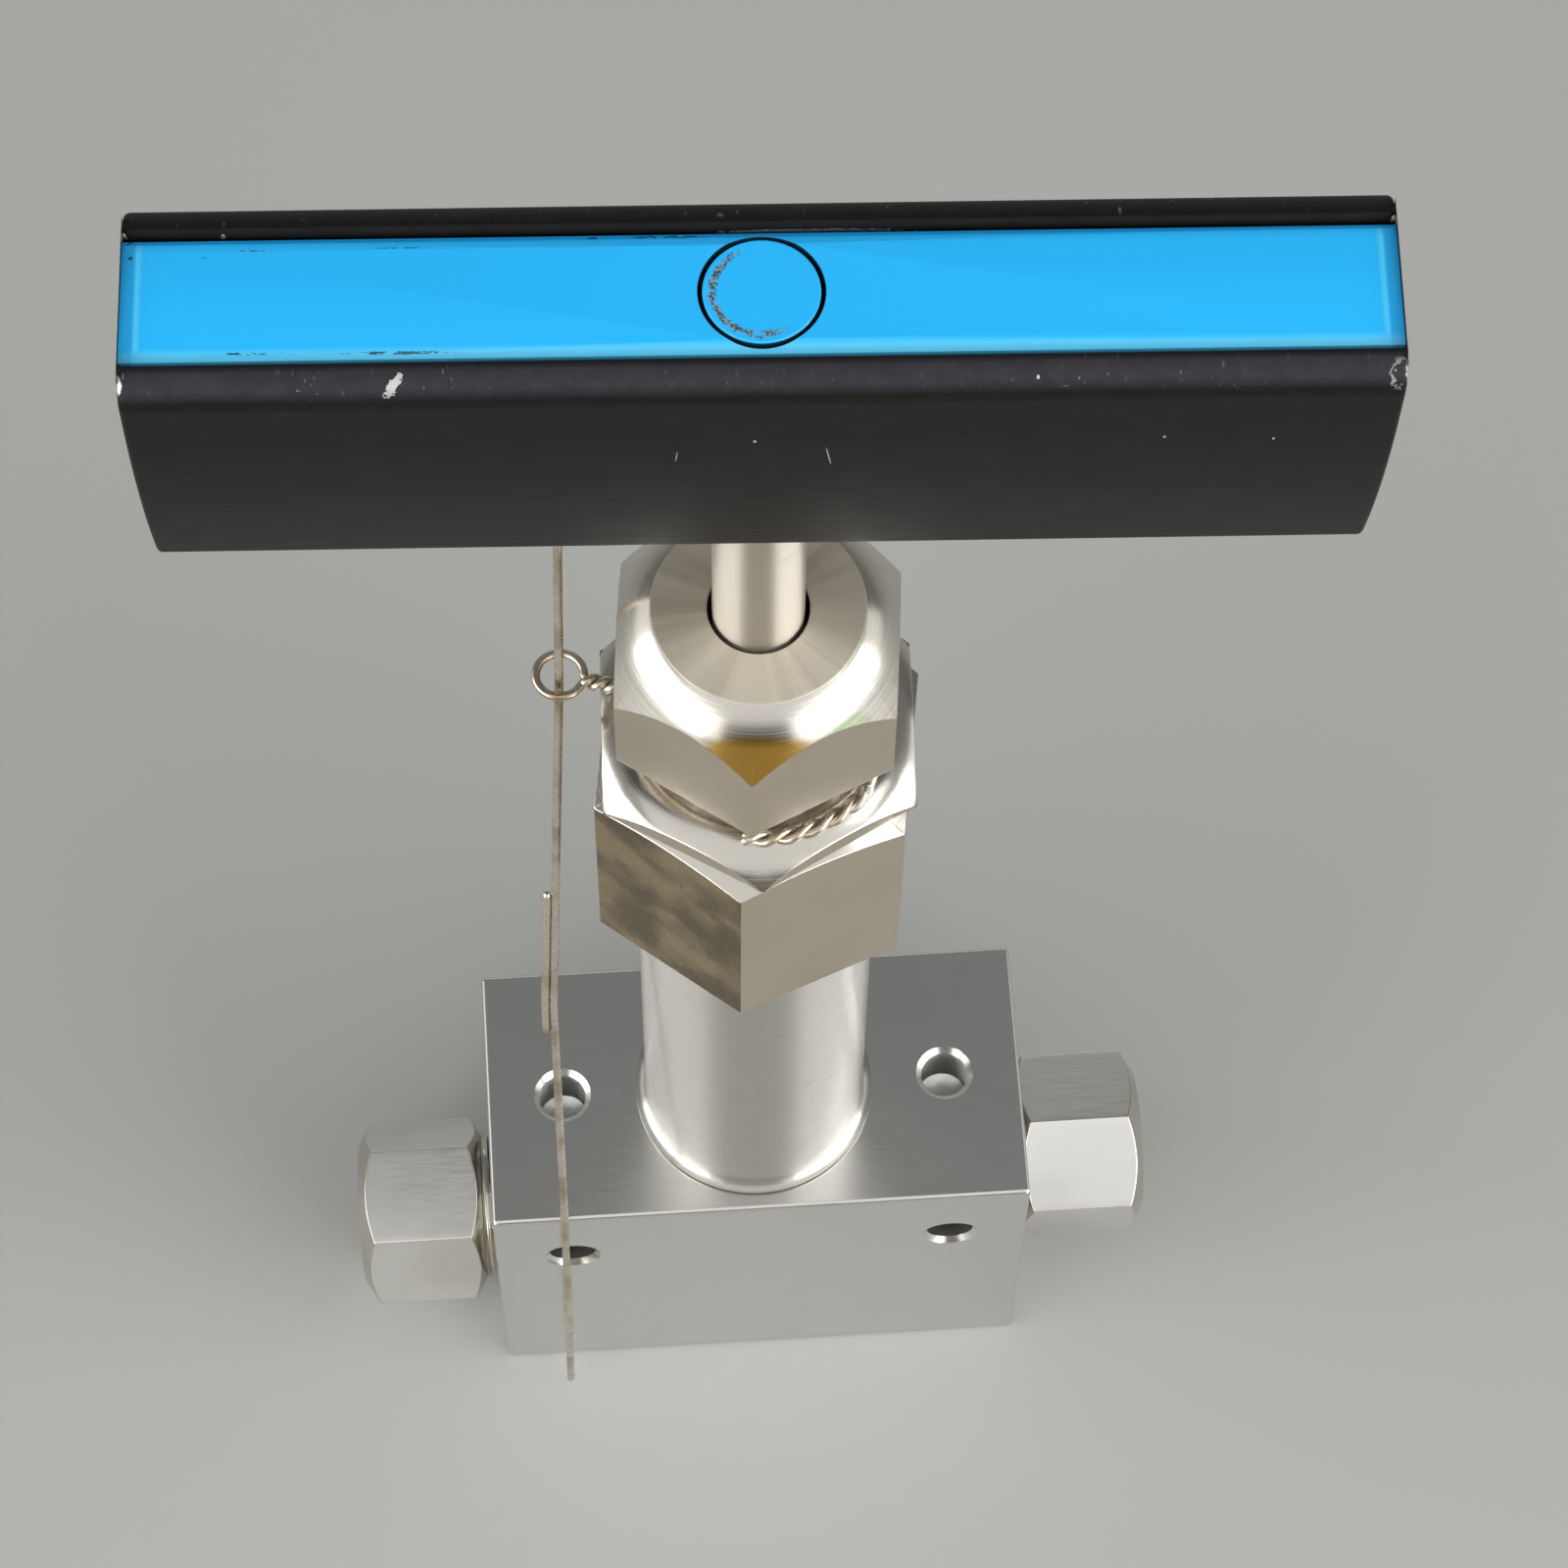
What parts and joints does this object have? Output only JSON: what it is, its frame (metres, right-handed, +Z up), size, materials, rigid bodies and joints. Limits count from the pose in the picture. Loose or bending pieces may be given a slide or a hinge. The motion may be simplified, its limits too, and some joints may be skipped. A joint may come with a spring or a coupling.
{
  "type": "needle valve",
  "caption": "High-pressure needle valve: block body with coned tube ports, long stuffing box, hex packing gland, non-rotating needle and a T-bar handle that screws the stem up and down.",
  "frame": {"origin": "centre of the block's bottom face, on the stem axis", "axes": "+Z up the stem, +X towards the outlet port, -Y towards the front face"},
  "size_m": [0.0896, 0.0308, 0.1865],
  "materials": {
    "body_steel": "satin ground stainless",
    "turned_steel": "bright turned stainless",
    "polished_steel": "polished stainless",
    "wire_steel": "drawn stainless wire",
    "packing": "compressed graphite",
    "black_anodised": "satin black anodise, worn at the edges",
    "blue_acrylic": "gloss acrylic"
  },
  "bodies": {
    "housing": {"body": "body_steel", "stuffing_box": "turned_steel", "gland_lock_nut": "turned_steel", "packing_gland": "turned_steel", "packing_follower": "turned_steel", "packing_ring_lower": "packing", "packing_ring_middle": "packing", "packing_ring_upper": "packing", "packing_washer": "turned_steel", "inlet_gland_nut": "turned_steel", "inlet_collar": "turned_steel", "outlet_gland_nut": "turned_steel", "outlet_collar": "turned_steel", "tag_wire_tie": "wire_steel", "tag_wire": "wire_steel", "tag_wire_splice": "wire_steel"},
    "needle": {"lower_stem": "polished_steel"},
    "handle": {"upper_stem": "polished_steel", "stem_thrust_washer": "turned_steel", "stem_retainer": "turned_steel", "handle_bar": "black_anodised", "nameplate": "blue_acrylic", "nameplate_plug": "blue_acrylic", "handle_screw": "turned_steel", "handle_lock_washer": "turned_steel"}
  },
  "joints": [
    {"name": "stem_rise", "type": "slide", "parent": "housing", "child": "needle", "axis": [0, 0, 1], "range_m": [0, 0.00508]},
    {"name": "handle_turn", "type": "hinge", "parent": "needle", "child": "handle", "pos_m": [0, 0, 0.156], "axis": [0, 0, 1], "range_deg": [0, 1440]}
  ],
  "couplings": [
    {"joint": "handle_turn", "follows": "stem_rise", "rad_per_m": 4947.4}
  ]
}
